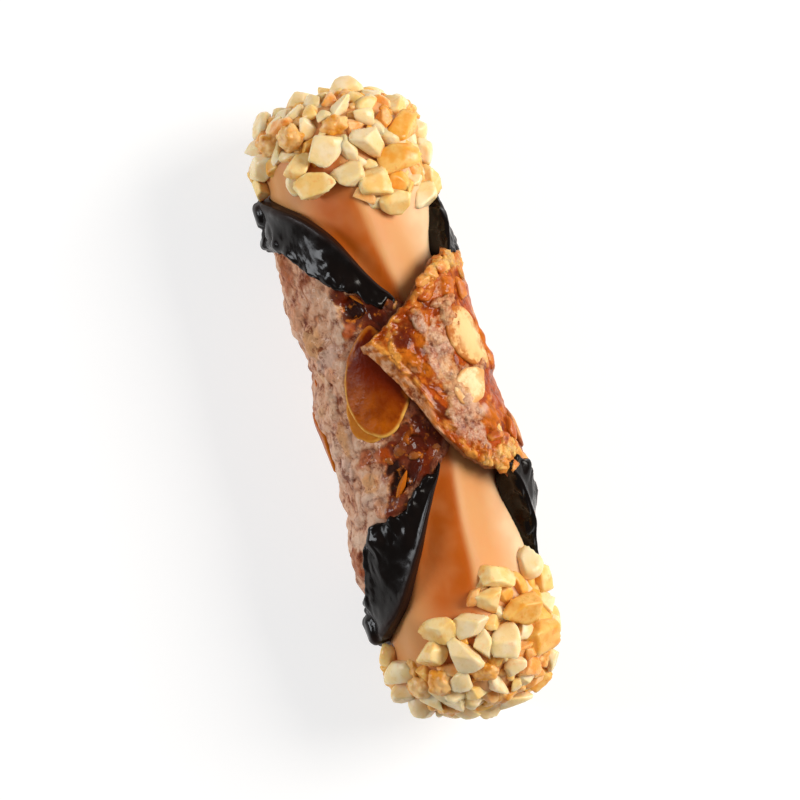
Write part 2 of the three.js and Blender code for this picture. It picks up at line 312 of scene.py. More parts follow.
class Surface:
    """A material under construction: a principled shader and short ways to feed it."""

    def __init__(self, name, **sockets):
        self.material = bpy.data.materials.new(name)
        self.material.use_nodes = True
        self.nodes = self.material.node_tree.nodes
        self.links = self.material.node_tree.links
        self.shader = self.nodes["Principled BSDF"]
        for key, value in sockets.items():
            self.shader.inputs[key.replace("_", " ")].default_value = value

    def node(self, kind, inputs=None, **settings):
        """A node whose inputs are numbers, colours or other nodes' outputs."""
        made = self.nodes.new(kind)
        for key, value in settings.items():
            setattr(made, key, value)
        for key, value in (inputs or {}).items():
            if isinstance(value, bpy.types.NodeSocket):
                self.links.new(value, made.inputs[key])
            else:
                made.inputs[key].default_value = value
        return made

    def feed(self, socket, source):
        self.links.new(source, self.shader.inputs[socket])

    def attribute(self, name, output="Fac"):
        return self.node("ShaderNodeAttribute", attribute_name=name).outputs[output]

    def noise(self, size, detail=2.0, roughness=0.5):
        """Noise from 0 to 1 whose waves are about size millimetres long."""
        place = self.node("ShaderNodeTexCoord").outputs["Object"]
        inputs = {"Vector": place, "Scale": 1 / (size * MM), "Detail": detail, "Roughness": roughness}
        return self.node("ShaderNodeTexNoise", inputs).outputs["Fac"]

    def ramp(self, value, low, high, to_low=0.0, to_high=1.0):
        """A value brought smoothly from low..high to to_low..to_high."""
        inputs = {"Value": value, "From Min": low, "From Max": high, "To Min": to_low, "To Max": to_high}
        return self.node("ShaderNodeMapRange", inputs, interpolation_type="SMOOTHSTEP").outputs["Result"]

    def math(self, operation, a, b):
        return self.node("ShaderNodeMath", {0: a, 1: b}, operation=operation).outputs[0]

    def times(self, a, b):
        return self.math("MULTIPLY", a, b)

    def plus(self, a, b):
        return self.math("ADD", a, b)

    def blend(self, share, a, b, kind="MIX"):
        """Colours a and b mixed."""
        inputs = {0: share, 6: a, 7: b}
        return self.node("ShaderNodeMix", inputs, data_type="RGBA", blend_type=kind).outputs[2]

    def bump(self, height, distance):
        """Feed the normal with relief of a height from 0 to 1 that stands distance millimetres."""
        inputs = {"Height": height, "Distance": distance * MM, "Strength": 1.0}
        self.feed("Normal", self.node("ShaderNodeBump", inputs).outputs["Normal"])


def rgba(code):
    return (*colour(code), 1.0)


# ---------------- the wafer

ROSY = colour("#dca07a")
ROSY_DARK = colour("#a85c38")
ROSY_PALE = colour("#e6c4b0")
TAN = colour("#dfa872")
AMBER = colour("#ae4600")
DARK_AMBER = colour("#601a00")
ORANGE = colour("#c4660c")
GOLD = colour("#eaa248")
# near black, painted as shade in hollows and under the flap's edge
HOLLOW_SHADE = colour("#1e0804")
INNER_SIDE = colour("#9a5a30")
CUT_BROWN = colour("#cc7430")
CUT_PALE = colour("#f2bc90")
SHEEN_PATCH = None  # marks patches of painted sheen, which keep the sheet's own colour under it

# Almond slices, as in the CAD model: roll angle and distance along of the middle, length, width, and turn of
# the long side from the tube's direction towards -Y
SLICES = [
    (33, 4.4, 20, 12.4, 9), (327, 7.6, 13.5, 9.2, 152), (107, -3.5, 12, 8, 168), (128, 18, 13, 8.5, 35),
    (160, 2, 14, 9, 105), (186, -20, 13, 8.6, 20), (205, 19, 12.5, 8, 140), (243, -4, 13.5, 8.8, 60),
    (282, 13, 12, 8.2, 15), (290, -10, 11.5, 7.6, 110),
]

UNDER_SLICE = (41, 0.3, 13.2, 9.6, 24)  # one more, under the large one

# Lumps, hollows and stains of the sheet as seen from above: distance across and along, length, width, turn of
# the long side from the tube's direction towards -Y, height, colour, gloss
FLAP_PATCHES = [
    # clear dark caramel
    (2.4, 12, 8, 5, 30, 0.1, DARK_AMBER, 1), (5.2, -3, 9.5, 4.6, 160, 0, AMBER, 0.9),
    (5.6, -3.6, 5, 2.4, 160, 0, DARK_AMBER, 0.9), (8.3, 18, 4.6, 3.2, 60, 0.6, AMBER, 0.9),
    (5.6, 16.2, 4, 2.2, 40, 0.2, AMBER, 0.8), (12.6, 17.2, 4.4, 4, 100, 0.8, ORANGE, 0.8),
    (6.8, -9.6, 8, 2.4, 140, 0.1, AMBER, 0.7), (2.8, 6.4, 4.6, 3, 150, 0.2, ORANGE, 0.5),
    (0.4, 8.2, 4.2, 1.8, 165, 0.2, GOLD, 0.4), (13.5, 12.5, 5, 3.4, 0, 0.3, ORANGE, 0.6),
    (10.5, -12.4, 4.5, 3, 120, 0.3, ORANGE, 0.6),
    # painted sheen, and almonds buried under it
    (6, 12.6, 5.5, 2.6, 165, 0.35, SHEEN_PATCH, 0.3), (8.6, 7.6, 10.5, 6.4, 10, 0, SHEEN_PATCH, 0.35),
    (11, 15, 8, 2, 90, 0.5, SHEEN_PATCH, 0.4), (11.4, 12.6, 3.6, 5, 60, 1.1, SHEEN_PATCH, 0.4),
    (11.6, -0.4, 9, 7, 60, 0.1, SHEEN_PATCH, 0.5), (14.6, 2.6, 5, 2.6, 80, 1, SHEEN_PATCH, 0.5),
    (16.8, 6, 9, 2.2, -5, 0.4, ORANGE, 0.7), (9.9, -5.6, 12, 8, 20, 0.2, SHEEN_PATCH, 0.35),
    (11.6, -10.2, 5.5, 2.4, 165, 0.2, SHEEN_PATCH, 0.3), (8.8, 2.2, 8, 4.4, 20, 0.1, SHEEN_PATCH, 0.4),
    (4.6, 4.2, 5, 2.6, 150, 0.1, ORANGE, 0.5), (14.2, -7.4, 5, 5, 90, 0.5, ORANGE, 0.6),
]
SHEET_PATCHES = [
    # at the left: buried almonds and lumps, darker patches by the far left edge, and painted sheen in the
    # sheen patches and in the pale band across at 10.4 along
    (-13, 13.8, 6.5, 6.5, 20, 0.8, TAN, 0.2), (-11.6, 10.4, 8, 3.6, 60, 0.2, ROSY_PALE, 0.3),
    (-7.3, 22, 3.2, 2.8, 10, 0.5, ROSY, 0.3), (-7.8, 18.6, 5, 2.6, 15, 0.5, SHEEN_PATCH, 0.3),
    (-12.6, 3.4, 9.5, 2.6, 0, 0.5, SHEEN_PATCH, 0.35), (-11.4, 7.5, 3.6, 3, 20, 0.4, ROSY, 0.3),
    (-12.2, -4, 7, 2.4, 5, 0.5, TAN, 0.3), (-9.2, -17.6, 3.4, 3.2, 0, 0.5, ROSY, 0.3),
    (-9.8, -12.6, 4.2, 3.6, 30, 0.5, TAN, 0.3), (-13.4, -9.6, 5, 3.2, 10, 0.4, ROSY_PALE, 0.3),
    (-14.6, 19, 5.5, 5, 0, 0.5, ROSY, 0.2), (-14.5, 27.5, 9, 5.5, 10, 0.2, ROSY_DARK, 0.2),
    (-15, -26, 8, 5, 0, 0.5, ROSY_DARK, 0.2),
    # dark glassy caramel beside the mouths' points, and painted shade: near-black hollows there and under the
    # flap's edge
    (-2.6, 16, 13, 7, 140, 0, DARK_AMBER, 0.9), (-1.5, -9.5, 12, 11, 20, -0.1, DARK_AMBER, 0.9),
    (-4.6, 18.2, 5, 3.8, 140, -1.3, HOLLOW_SHADE, 0.9), (-4.9, -13.6, 5.6, 3.6, 35, -1.3, HOLLOW_SHADE, 0.9),
    (2.4, -6.6, 7, 4, 150, -0.2, HOLLOW_SHADE, 0.7), (-6.8, -8.6, 4.6, 3, 100, 0.3, AMBER, 0.7),
    (1.6, -10.6, 3.6, 3, 40, 0.4, AMBER, 0.8), (-0.6, -6.4, 3.6, 2.2, 60, 0.3, ORANGE, 0.6),
    (-6.4, 14.4, 4, 2, 50, 0.3, AMBER, 0.7), (-5.8, -17.4, 6.5, 4.4, 40, -0.1, DARK_AMBER, 0.75),
    (-6.4, 20.6, 5, 3.2, 140, 0, DARK_AMBER, 0.75), (-9.8, -8.4, 4.8, 2.6, 60, 0.1, AMBER, 0.6),
    (-2, -12.4, 5.6, 2.4, 30, -0.6, HOLLOW_SHADE, 0.9), (0.6, -8.2, 4, 2.2, 150, -0.6, HOLLOW_SHADE, 0.9),
    (-5.4, -11, 3.4, 1.8, 60, -0.5, HOLLOW_SHADE, 0.9), (-0.8, 15.2, 5, 2.2, 140, -0.4, HOLLOW_SHADE, 0.9),
]
PATCHES = [
    (roll_at(across, flap), *rest)
    for flap, patches in ((True, FLAP_PATCHES), (False, SHEET_PATCHES))
    for across, *rest in patches
]
GLASSY = 0.8  # patches glossier than this are smooth
SLICE_BED = -0.3  # height of the sheet under an almond slice
FLAP_BEVEL = 2.0  # width of the sloping cut along the flap's free edge
FLAP_LIFT = 0.9  # how far the flap's tip curls up
TIP_START = ROLL_END - 22  # roll angle that it curls up from
EDGE_ROUNDING = 0.55


def patch_share(centre, middle, length, width, turn, roll, along, wobble=0.0):
    """How much of a patch there is at each point, and how far out from its middle the point is."""
    radius = float(sheet_radius(centre)) + WAFER
    forward, beside = rotated(along - middle, np.radians(centre - roll) * radius, turn)
    reach = np.hypot(forward / (length / 2), beside / (width / 2)) + 0.38 * wobble
    return 1 - smooth(reach, 0.75, 1.1), reach


HASH_WAVES = (12.99, 78.23, 37.72)  # turn a cell's centre into a number from 0 to 1
HASH_SCALE = 437.58


def buried_bits(points, size, kept, seed):
    """Domes of bits buried under the sheet's surface: height from 0 to 1, and a number for each bit."""
    dome, draw = [], []
    for p in noise_points(points, size, seed, CELL_STEP):
        distances, centres = noise.voronoi(p)
        dice = math.modf(abs(math.sin(centres[0].dot(HASH_WAVES))) * HASH_SCALE)[0]
        reach = distances[0] / (0.34 + 0.26 * dice)
        dome.append(math.sqrt(1 - reach * reach) if reach < 1 and dice < kept else 0.0)
        draw.append(dice / kept)
    shape = points.shape[:-1]
    return np.array(dome).reshape(shape), np.array(draw).reshape(shape)


def wafer_look(points, roll, along, rough_edge):
    """Height, colour, gloss and painted sheen of the sheet's outer side."""
    big = ripple(points, 9, seed=1)
    middling = ripple(points, 4.2, seed=2, octaves=3)
    small = ripple(points, 1.5, seed=3, octaves=3)
    wobble = ripple(points, 2.0, seed=7, octaves=3)
    bits, draw = buried_bits(points + 0.7 * wobble[..., None], 5.2, 0.4, seed=2)
    lumps = np.abs(ripple(points, 4.4, seed=5, octaves=2))
    on_flap = smooth(roll + 6 * wobble, 262, 318)
    height = 0.30 * big + 0.25 * middling + mix(0.15, 0.10, on_flap) * small + 0.3 * bits ** 0.7
    height = height + mix(0.85, 0.5, on_flap) * (lumps - 0.25)

    rosy = stain(ROSY, ROSY_DARK, 0.9 * smooth(middling + 0.8 * small, 0.1, 0.6))
    rosy = stain(rosy, AMBER, 0.55 * smooth(ripple(points, 5, seed=11, octaves=2), 0.2, 0.5))
    golden = stain(AMBER, DARK_AMBER, 0.6 * smooth(-middling - 0.6 * small, 0.05, 0.6))
    golden = stain(golden, ORANGE, 0.9 * smooth(ripple(points, 3, seed=12, octaves=2), 0.1, 0.5))
    tint = stain(rosy, golden, on_flap)
    nutty = stain(TAN, ORANGE, smooth(draw, 0.3, 0.6))
    nutty = stain(nutty, ROSY_PALE, smooth(draw, 0.75, 0.95))
    tint = stain(tint, nutty, 0.6 * smooth(bits, 0.1, 0.6))
    # painted shade: darker caramel colour in the creases between the lumps
    tint = stain(tint, DARK_AMBER, mix(0.6, 0.5, on_flap) * (1 - smooth(lumps, 0.0, 0.12)))
    # painted sheen: a pale veil standing for reflections of the lights, broad on the left sheet and patchier
    # on the flap
    sheet_bloom = 0.55 + 0.4 * smooth(big, -0.3, 0.5)
    flap_bloom = 0.1 + 0.5 * smooth(big + 0.6 * middling, 0.1, 0.6)
    bloom = mix(sheet_bloom, flap_bloom, on_flap) * (0.5 + 0.5 * smooth(lumps, 0.03, 0.25))
    gloss = 0.3 + 0.35 * on_flap
    for place in SLICES + [UNDER_SLICE]:
        share, _ = patch_share(*place, roll, along)
        height = mix(height, SLICE_BED, share)
    for *place, lift, dye, shine in PATCHES:
        share, reach = patch_share(*place, roll, along, wobble)
        dome = np.sqrt(np.clip(1 - 0.75 * reach * reach, 0, 1))
        if shine > GLASSY:
            height = height * (1 - 0.65 * share)
        height = height + lift * share * dome
        # patches of painted sheen add to it; other patches put in their own colour and take most of the sheen
        # away
        if dye is SHEEN_PATCH:
            bloom = mix(bloom, 0.95, 0.75 * share)
        else:
            dark = dye is DARK_AMBER or dye is HOLLOW_SHADE
            strength = 0.92 if dark else mix(0.65, 0.85, on_flap)
            tint = stain(tint, dye * (1 + 0.4 * small[..., None]), strength * share)
            bloom = bloom * (1 - (1.0 if dark else 0.75) * share)
        gloss = mix(gloss, shine, share)
    # painted shadow: the sheet is darker under the flap's edge and has no painted sheen there, and the flap's
    # ragged edges are toasted and golden
    painted_flap_shadow = smooth(-roll, -36, -12)
    tint = stain(tint, DARK_AMBER, 0.8 * painted_flap_shadow)
    toasted = rough_edge * smooth(roll, 300, 322)
    tint = stain(tint, stain(AMBER, GOLD, smooth(small, -0.2, 0.5)), 0.7 * toasted)
    bloom = bloom * (1 - painted_flap_shadow) * (1 - 0.6 * toasted)
    height = height + 0.5 * toasted * (middling + small)
    height = height * smooth(roll, -6, 12)
    # and it is flat and a little sunk under the chocolate
    for end in (head, foot):
        past = end.side * (along - end.rim(roll)) + end.width(roll) - 0.8
        height = mix(height, np.minimum(height, 0) - 0.15, smooth(past, -0.9, 0.2) * end.cover(roll))
    return height, tint, gloss, bloom


def wafer_columns():
    """Roll angles of the sheet's columns, closer together where the top shows them."""
    spans = [(ROLL_START, 0, 1.6), (0, 115, 0.95), (115, 280, 1.8), (280, ROLL_END, 0.8)]
    angles = [np.arange(first, last, step) for first, last, step in spans]
    return np.append(np.concatenate(angles), ROLL_END)


def sheet_edge(end, roll):
    """The sheet's own edge, ragged, and short of the rim where chocolate makes the last of it."""
    here = sheet_point(roll, end.rim(roll), 0)
    ragged = 0.5 * ripple(here, 2.4, seed=21 + end.side, octaves=3) + 0.3 * ripple(here, 0.9, seed=24)
    tip = smooth(roll, ROLL_END - 14, ROLL_END)
    pulled_back = DIP_LIP * end.cover(roll)
    return end.rim(roll) - end.side * pulled_back + ragged * (1 - 0.8 * tip)


def distance_to(edge, along, roll):
    """Distance from points to a ragged edge, measured across the edge's own slope."""
    slope = np.gradient(edge[:, 0], np.radians(roll[:, 0])) / (TUBE_RADIUS + WAFER + STEP_HEIGHT / 2)
    slope = np.convolve(np.pad(slope, 6, "edge"), np.ones(13) / 13, "valid")[:, None]
    return np.abs(along - edge) / np.sqrt(1 + slope ** 2)


def build_wafer():
    rows, inner_rows, edge_rows = 225, 6, 4
    roll = wafer_columns()[:, None]
    low = sheet_edge(foot, roll[:, 0])[:, None]
    high = sheet_edge(head, roll[:, 0])[:, None]
    along = mix(low, high, np.linspace(0, 1, rows)[None, :])
    rolls = roll + 0 * along
    base = sheet_point(rolls, along, WAFER)
    to_low = distance_to(low, along, roll)
    edge = np.minimum(to_low, distance_to(high, along, roll))
    rough_edge = 1 - smooth(edge, 0.8, 3.4)
    height, tint, gloss, bloom = wafer_look(base, rolls, along, rough_edge)
    # the flap's tip curls up, and its free edge is a sloping cut
    tip = smooth(rolls, TIP_START, ROLL_END)
    cut = smooth(rolls, 358, 372)
    slope_in = np.clip(1 - to_low / FLAP_BEVEL, 0, 1) * cut
    grit = ripple(base, 0.9, seed=31, octaves=2)
    ridge = np.exp(-((to_low - FLAP_BEVEL - 0.3) / 0.45) ** 2) * cut
    height = height * (1 - 0.7 * smooth(slope_in, 0, 0.3)) + 0.25 * ridge
    height = height - 1.45 * slope_in + 0.16 * grit * smooth(slope_in, 0, 0.2) + FLAP_LIFT * tip
    bare = smooth(slope_in, 0.02, 0.2)
    tint = stain(tint, stain(CUT_BROWN, CUT_PALE, smooth(grit, -0.3, 0.5)), 0.9 * bare)
    tint = stain(tint, GOLD, 0.8 * ridge * smooth(grit, -0.6, 0.2))
    gloss = mix(gloss, 0.25, bare)
    bloom = bloom * (1 - bare) * (1 - 0.7 * ridge)
    turned = np.clip(1 - edge / EDGE_ROUNDING, 0, 1)
    height = height - EDGE_ROUNDING * (1 - np.sqrt(1 - turned ** 2)) * (1 - smooth(slope_in, 0, 0.2))
    outer = sheet_point(rolls, along, WAFER + height)
    # edge faces and the inner side
    inside = FLAP_LIFT * smooth(roll, TIP_START, ROLL_END)
    down = ((np.arange(edge_rows) + 1) / (edge_rows + 1))[None, :]
    bulge = 0.18 * np.sin(math.pi * down)
    high_face = sheet_point(roll, high + bulge, mix(WAFER + height[:, -1:], inside, down))
    inner_along = mix(high, low, np.linspace(0, 1, inner_rows)[None, :])
    inner = sheet_point(roll, inner_along, inside + 0 * inner_along)
    low_face = sheet_point(roll, low - bulge, mix(inside, WAFER + height[:, :1], down))
    points, faces = closed_rings(np.concatenate([outer, high_face, inner, low_face], 1))

    def spread(values, rest):
        """A value for every point, from those of the outer side and one for the rest."""
        shape = (len(roll), edge_rows * 2 + inner_rows) + np.shape(values)[2:]
        full = np.concatenate([values, np.broadcast_to(rest, shape)], 1)
        full = full.reshape((-1,) + full.shape[2:])
        return np.concatenate([full, full[:1], full[-1:]])

    add_piece(
        "wafer", points, faces, wafer_material(), "wafer", ["wafer_shell"],
        tint=spread(tint, INNER_SIDE), gloss=spread(gloss, 0.3), bloom=spread(bloom, 0.3),
    )


PIT_SHADE = (0.34, 0.14, 0.07, 1)  # what the crust's pits multiply its colour by: painted shade in the hollows of its bump


def wafer_material():
    s = Surface("wafer", Coat_Roughness=0.06, Specular_IOR_Level=0.06)
    tint = s.attribute("tint", "Color")
    gloss = s.attribute("gloss")
    grain = s.ramp(gloss, 0.2, 1.0, 1.0, 0.3)
    crust = s.noise(2.6, detail=7.0, roughness=0.68)
    grit = s.noise(0.8, detail=4.0, roughness=0.7)
    pits = s.ramp(s.plus(crust, s.times(grit, 0.4)), 0.53, 0.69, 1.0, 0.0)
    base = s.blend(s.times(s.times(pits, grain), 0.9), tint, PIT_SHADE, "MULTIPLY")
    # bright orange specks where the caramel is glossy, partly painted glints
    specks = s.ramp(s.noise(1.3, detail=3.0, roughness=0.6), 0.56, 0.7, 0.0, 0.7)
    base = s.blend(s.times(specks, gloss), base, rgba("#e88222"))
    # painted sheen: a pale grainy veil over the colour where the sheen attribute is high, rosier where the
    # wafer is less glossy
    bloom = s.attribute("bloom")
    sheen_grain = s.plus(s.plus(s.times(crust, 0.5), s.times(grit, 0.5)), s.times(bloom, 0.27))
    sheen_cover = s.times(s.ramp(sheen_grain, 0.54, 0.88, 0.0, 0.8), s.ramp(bloom, 0.1, 0.45))
    pale = s.blend(s.ramp(gloss, 0.3, 0.45), rgba("#eccbb0"), rgba("#f2c68e"))
    base = s.blend(sheen_cover, base, pale)
    s.feed("Base Color", base)
    s.feed("Roughness", s.ramp(gloss, 0.0, 1.0, 0.5, 0.24))
    s.feed("Coat Weight", s.times(gloss, 0.4))
    s.bump(s.times(crust, grain), 1.3)
    return s.material


# ---------------- the cream

# Direction of the soft ridge between the cream's flat facets, as (distance along, degrees from the top to -Y)
HEAD_RIDGE = [(17, 19), (24, 13), (33, 7), (42, 3), (56, 0)]
FOOT_RIDGE = [(11, 23), (17, 20), (24, 17), (33, 15), (42, 10), (56, 0)]
FACETS = [(-27, 12.95), (27, 13.15), (-78, 13.9), (80, 13.9)]  # degrees from the ridge and depth
CREAM_RADIUS = TUBE_RADIUS - 0.1
CREAM = colour("#d69a60")
# colours of painted light at the cream's far right and painted shade left of its ridge
CREAM_PAINTED_LIGHT = colour("#eecba2")
CREAM_PAINTED_SHADE = colour("#bd5a0c")
FAR = 99.0


def soft_least(values, hardness):
    """The least of several, with the corners between them rounded."""
    stack = np.stack(values)
    return np.sum(stack ** -hardness, 0) ** (-1 / hardness)


def ridge_direction(along):
    """Direction of the cream's ridge, at degrees from the top towards -Y."""
    return np.where(along > 0, track(HEAD_RIDGE)(along), track(FOOT_RIDGE)(-along))


def cut_reach(lean, depth, least):
    """Distance out to a flat cut at a depth, where the cosine to its normal is lean."""
    return np.where(lean > least, depth / np.maximum(lean, least), FAR)


def cream_section(direction, along):
    """Radius of the cream's smoothed-off section: flat facets either side of a soft ridge."""
    from_ridge = direction - ridge_direction(along)
    flats = [cut_reach(np.cos(np.radians(from_ridge - turn)), depth, 0.2) for turn, depth in FACETS]
    return soft_least([np.full(np.shape(direction), CREAM_RADIUS + 0.8)] + flats, 28)


def sheet_past(direction, along):
    """How far a place on the tube is beyond the sheet that covers it."""
    roll = np.mod(NOTCH - direction - ROLL_START, 360) + ROLL_START
    return np.maximum(along - head.rim(roll), foot.rim(roll) - along)


def dome_radius(along):
    """Share of its radius that the cream keeps at a distance along."""
    reach = np.clip((np.abs(along) - DOME_START) / DOME_LENGTH, 0, 1)
    return (1 - reach ** DOME_POWER) ** (1 / DOME_POWER)


def cream_radius(direction, along):
    """Radius of the cream's surface in a direction, from -180 to 180 round from the top."""
    open_here = smooth(sheet_past(direction, along), -2.5, 1.5)
    inside = CREAM_RADIUS - 0.35
    dent = 0.12 * np.sin(np.radians(direction) * 5 + along * 0.21) * open_here
    return mix(inside, cream_section(direction, along) + dent, open_here) * dome_radius(along)


def build_cream():
    sides, straight, dome = 200, 190, 36
    turn = np.linspace(0, math.pi / 2, dome + 1)[1:-1]
    reach = DOME_START + DOME_LENGTH * np.sin(turn) ** (2 / DOME_POWER)
    along = np.concatenate([-reach[::-1], np.linspace(-DOME_START, DOME_START, straight), reach])[:, None]
    direction = np.linspace(-180, 180, sides, endpoint=False)[None, :]
    along = along + 0 * direction
    direction = direction + 0 * along
    points, faces = closed_rings(tube_point(NOTCH - direction, along, cream_radius(direction, along)))
    # painted shade on the left of the ridge, painted light at the far right, and plain under the nuts
    left = ridge_direction(along) - direction
    out = np.abs(along)
    painted_shade = smooth(left, -2, 4) * (1 - 0.85 * smooth(left, 24, 50) * smooth(out, 26, 38))
    painted_shade = painted_shade * (1 - 0.35 * smooth(out, 35, 40))
    seen = smooth(-out, -54, -47)
    tint = stain(CREAM, CREAM_PAINTED_SHADE, ring_values(painted_shade * seen))
    tint = stain(tint, CREAM_PAINTED_LIGHT, ring_values(smooth(-left, 18, 50) * seen))
    add_piece("cream", points, faces, cream_material(), "cream", ["cream_filling"], tint=tint)


def cream_material():
    s = Surface(
        "cream", Roughness=0.45, Specular_IOR_Level=0.2,
        Subsurface_Weight=0.2, Subsurface_Scale=0.002, Subsurface_Radius=(1.0, 0.45, 0.2),
    )
    tint = s.attribute("tint", "Color")
    s.feed("Base Color", s.blend(s.ramp(s.noise(6.0), 0.35, 0.7, 0.0, 0.35), tint, rgba("#d88c52")))
    s.bump(s.noise(1.6), 0.05)
    return s.material


# ---------------- the chocolate

# The band's cross-section, once round from its far edge over the outside and the rim to the inside: distance
# back from the rim as a share of the band's width and as millimetres more, and height over the sheet's inside
BAND_SECTION = [
    (1, 0, 1.7), (1, -0.15, 2.3), (1, -0.9, 2.7), (0.7, 0, 2.6), (0.4, 0, 2.5), (0.15, 0.8, 2.6),
    (0, 1, 2.8), (0, 0.35, 2.7), (0, 0, 2.2), (0, 0, 1.4), (0, 0.05, 0.4), (0, 0.6, -0.1),
    (0, 3, -0.2), (0, 6, 0.4), (0.3, 4, 1.1), (1, -0.6, 1.1),
]
LEAST_BAND = 2.4  # the narrowest that the band gets
LIP_HEIGHT = WAFER + 0.3  # height of its closed ends over the sheet's inside


def build_chocolate(end, name, node):
    around, samples = 360, 66
    rolls = np.linspace(end.first - 3, end.last + 3, around)[:, None]
    anchor = sheet_point(rolls[:, 0], end.rim(rolls[:, 0]), 0)
    wander = ripple(anchor, 4.0, seed=41 + end.side, octaves=3)[:, None]
    width = np.maximum(end.width(rolls) + 1.1 * wander, LEAST_BAND)
    looped = np.array(BAND_SECTION + BAND_SECTION[:1])
    at = np.linspace(0, len(BAND_SECTION), samples, endpoint=False)[None, :]
    share, more, height = (track(list(enumerate(column)))(at) for column in looped.T)
    closing = np.clip(np.sin(np.pi * np.linspace(0, 1, around))[:, None] * 9, 0, 1) ** 0.5
    back = mix(0.5 * width, share * width + more, closing)
    height = mix(LIP_HEIGHT, height, closing)
    along = end.rim(rolls) - end.side * back
    rough = sheet_point(rolls, along, height)
    near = cells(rough, 4.4, seed=4 + end.side)
    by_edge = smooth(back / width, 0.3, 0.85)
    creased = np.abs(ripple(rough, 3.6, seed=43, octaves=2))
    swell = mix(0.05, 0.6, by_edge) * (1 - smooth(near, 0.0, 0.7)) + mix(0.15, 1.1, by_edge) * creased
    swell = (swell + 0.35 * ripple(rough, 6, seed=44) - 0.2) * closing
    for drip_roll, drip_along, size, stand in end.drips:
        spread = np.radians(rolls - drip_roll) * (TUBE_RADIUS + WAFER)
        reach = np.hypot(spread, along - drip_along) / (size / 2) + 0.25 * wander
        groove = 0.2 * np.exp(-((reach - 1.15) / 0.2) ** 2)
        swell = swell + stand * np.sqrt(np.clip(1 - reach * reach, 0, 1)) - groove
    outside = smooth(height, WAFER - 0.2, WAFER + 0.5)
    on_rim = smooth(-back, -0.6, 0) * smooth(height, -0.1, 0.4)
    # inside the flap the chocolate fills the gap to the cream, and its face there is knobbly
    gap = sheet_radius(rolls) - TUBE_RADIUS
    filled = gap * smooth(-height, -0.5, 0.1) * closing
    face = smooth(-back, -0.9, 0) * smooth(-height, -2.6, -1.8) * closing * gap / STEP_HEIGHT
    knobs = np.abs(ripple(sheet_point(rolls, along, height - filled), 2.6, seed=45, octaves=2))
    along = along + end.side * (0.4 * swell * on_rim + 2.4 * knobs * face)
    lumpy = swell * outside - 0.9 * creased * filled
    points, faces = closed_rings(sheet_point(rolls, along, height + lumpy - filled))
    matt = ring_values((1 - smooth(back, 0.2, 2.2)) * smooth(-rolls, -250, -180))
    add_piece(name, points, faces, chocolate_material(), "chocolate", [node], matt=matt)


@cache
def chocolate_material():
    s = Surface("chocolate", Coat_Weight=0.05, Coat_Roughness=0.1, Specular_IOR_Level=0.16)
    base = s.blend(s.ramp(s.noise(3.5), 0.4, 0.75), rgba("#0d0705"), rgba("#120a07"))
    matt = s.attribute("matt")
    s.feed("Base Color", s.blend(s.times(matt, 0.55), base, rgba("#2c140a")))
    s.feed("Roughness", s.plus(s.ramp(s.noise(2.4), 0.3, 0.7, 0.14, 0.28), s.times(matt, 0.3)))
    s.bump(s.noise(1.6), 0.06)
    return s.material


# ---------------- the nuts

# The nuts that show from above at the head end: distance across and along, length, width, turn as for the
# patches, kind. The foot end has the same places mirrored, with nuts of their own shapes.
NUTS = [
    (-11.5, 54, 5.6, 3.8, 10, "ivory"), (-7.9, 55.2, 3.4, 3, 90, "ivory"),
    (-9, 52.8, 4.8, 3.2, 60, "ivory"), (-4.3, 56.7, 5.6, 3, 85, "ivory"), (-5.6, 54, 5.4, 3.4, 50, "ivory"),
    (-2.2, 55, 4, 3.4, 90, "ivory"), (-13.6, 50.8, 4.6, 3.8, 90, "ivory"),
    (-10.4, 50.4, 5.2, 4.6, 90, "crumbly"), (-6.9, 50.2, 5.2, 5, 0, "crumbly"),
    (-12.8, 47.2, 7.8, 5.2, 110, "ivory"), (-14.6, 43.6, 4.4, 3.8, 0, "yellow"),
    (-7, 45.2, 6, 4.6, 100, "yellow"), (-1.8, 46.9, 7.8, 5.6, 55, "ivory"),
    (1.9, 45.6, 6, 3.6, 10, "ivory"), (5.6, 46, 7, 5.4, 150, "ivory"), (11.5, 47.4, 8, 6, 90, "gold"),
    (-4.9, 41.4, 7.4, 5, 78, "yellow"), (0.8, 41.6, 6.6, 5, 110, "ivory"),
    (4.7, 38.9, 5.8, 5.2, 90, "yellow"), (9.7, 42, 8.2, 5.8, 100, "gold"),
    (13.9, 42.5, 5.4, 4.2, 10, "ivory"), (14.6, 37.4, 5.8, 4.2, 10, "yellow"),
    (12.6, 34.6, 5.9, 4.6, 30, "ivory"), (7.2, 34.8, 6.8, 5.2, 90, "yellow"),
    (2.5, 37.2, 4, 3, 110, "toasted"), (4.9, 56.5, 6.6, 4.4, 105, "ivory"), (2.5, 53.2, 6, 3, 45, "ivory"),
    (0.9, 54.7, 3.8, 3.2, 20, "toasted"), (5.7, 54, 3.6, 2.8, 120, "yellow"),
    (7.7, 53.3, 3.4, 3.2, 0, "ivory"), (9.7, 52.4, 3.4, 3, 0, "toasted"), (12.2, 51.7, 5, 4, 45, "ivory"),
    (6.1, 50.8, 4.6, 3.2, 120, "ivory"), (0.9, 50.4, 5.4, 3.8, 90, "crumbly"),
    (9.2, 49.4, 3.8, 3, 40, "toasted"), (-15.2, 46.4, 2.6, 2.4, 0, "gold"),
]
STREWN_KINDS = ["ivory"] * 11 + ["yellow"] * 7 + ["gold"] * 3 + ["toasted"] + ["crumbly"] * 2
SHOWN_KINDS = ["ivory", "gold", "yellow", "toasted", "crumbly"]
STREWN_TRIES = 8000  # for each end
LARGE_TRIES = 6000  # the later ones are small nuts, for the gaps
STREWN_ALONG = (33, 53)
END_CAP = 0.4  # share of the strewn nuts that go on the rounded ends
